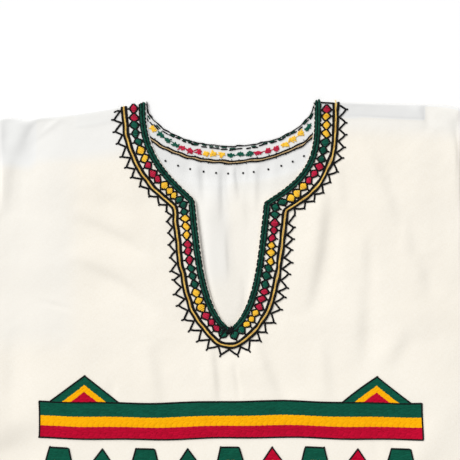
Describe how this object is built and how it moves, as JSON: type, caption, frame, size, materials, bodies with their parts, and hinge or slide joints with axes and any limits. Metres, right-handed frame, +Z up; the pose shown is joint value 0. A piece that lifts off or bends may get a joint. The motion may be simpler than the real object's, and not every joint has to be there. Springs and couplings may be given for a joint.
{
  "type": "embroidered tunic",
  "caption": "Short-sleeved cotton tunic laid flat and face up, with a deep rounded neck slit edged by a thread braid and a couched cord.",
  "frame": {"origin": "middle of the tunic's footprint, on the surface that it lies on", "axes": "+X towards the wearer's left sleeve, +Y towards the neck, +Z up out of the front"},
  "size_m": [1.0776, 0.821, 0.0082],
  "materials": {
    "cotton_cloth": "plain-woven unbleached cotton, matt",
    "green_thread": "dark green embroidery thread, soft sheen",
    "gold_thread": "golden yellow embroidery thread, soft sheen",
    "yellow_thread": "yellow embroidery thread, soft sheen",
    "red_thread": "red embroidery thread, soft sheen",
    "black_thread": "black embroidery thread, soft sheen"
  },
  "bodies": {
    "root": {"front_panel": "cotton_cloth", "back_panel": "cotton_cloth", "sleeve_left": "cotton_cloth", "sleeve_right": "cotton_cloth", "neck_braid": "green_thread", "gold_cord": "gold_thread"}
  },
  "joints": []
}
